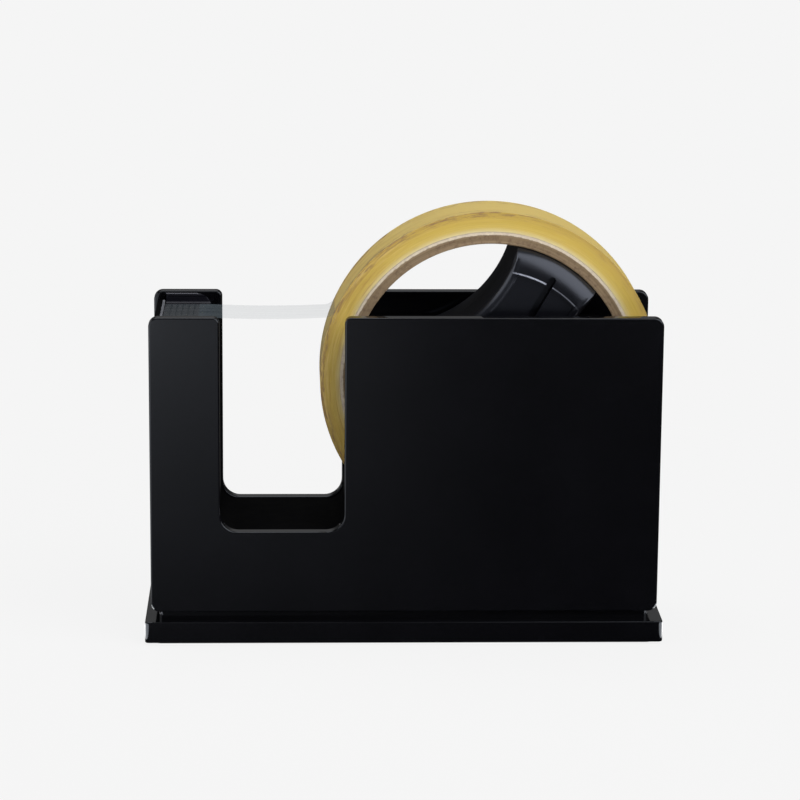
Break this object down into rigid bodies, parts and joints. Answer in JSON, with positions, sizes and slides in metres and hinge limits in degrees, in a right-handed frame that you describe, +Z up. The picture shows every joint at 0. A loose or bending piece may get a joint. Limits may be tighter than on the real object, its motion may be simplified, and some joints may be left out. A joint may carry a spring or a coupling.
{
  "type": "tape dispenser",
  "caption": "Desk tape dispenser: glossy black sandwich body with finger notch, serrated cutter, weighted base, and a lift-out reel that turns a wide-core roll of tape.",
  "frame": {"origin": "middle of the footprint on the desk, at the underside of the foot pad", "axes": "+X from the cutter towards the roll, +Y from the front panel to the rear panel, +Z up"},
  "size_m": [0.1434, 0.0444, 0.1192],
  "materials": {
    "gloss_panel": "polished black moulding",
    "gloss_base": "polished black moulding",
    "frame_plastic": "satin black moulding",
    "head_plastic": "polished black moulding",
    "reel_plastic": "black moulding, fine texture on the faces",
    "blade_steel": "stamped steel",
    "axle_steel": "drawn rod",
    "screw_steel": "zinc plated",
    "ballast_iron": "as cast",
    "pad_rubber": "matt non-slip sheet",
    "washer_nylon": "natural nylon",
    "core_card": "wound board with a pale outer paper",
    "tape_roll": "wound clear film, amber at the side",
    "tape_film": "clear film"
  },
  "bodies": {
    "base": {"front_panel": "gloss_panel", "rear_panel": "gloss_panel", "inner_frame": "frame_plastic", "base_plate": "gloss_base", "foot_pad": "pad_rubber", "base_screws": "screw_steel", "ballast_bar": "ballast_iron", "ballast_tower": "ballast_iron", "ballast_screws": "screw_steel", "cutter_head": "head_plastic", "cutter_blade": "blade_steel", "head_screws": "screw_steel", "front_saddle": "frame_plastic", "rear_saddle": "frame_plastic"},
    "axle": {"reel_axle": "axle_steel", "front_washer": "washer_nylon", "rear_washer": "washer_nylon", "tape_tail": "tape_film"},
    "reel": {"front_hub_half": "reel_plastic", "rear_hub_half": "reel_plastic", "hub_screws": "screw_steel", "tape_core": "core_card", "tape_winding": "tape_roll"}
  },
  "joints": [
    {"name": "reel_lift", "type": "slide", "parent": "base", "child": "axle", "axis": [0, 0, 1], "range_m": [0, 0.075]},
    {"name": "reel_spin", "type": "hinge", "parent": "axle", "child": "reel", "pos_m": [0.0234, 0, 0.0724], "axis": [0, 1, 0], "continuous": true}
  ]
}
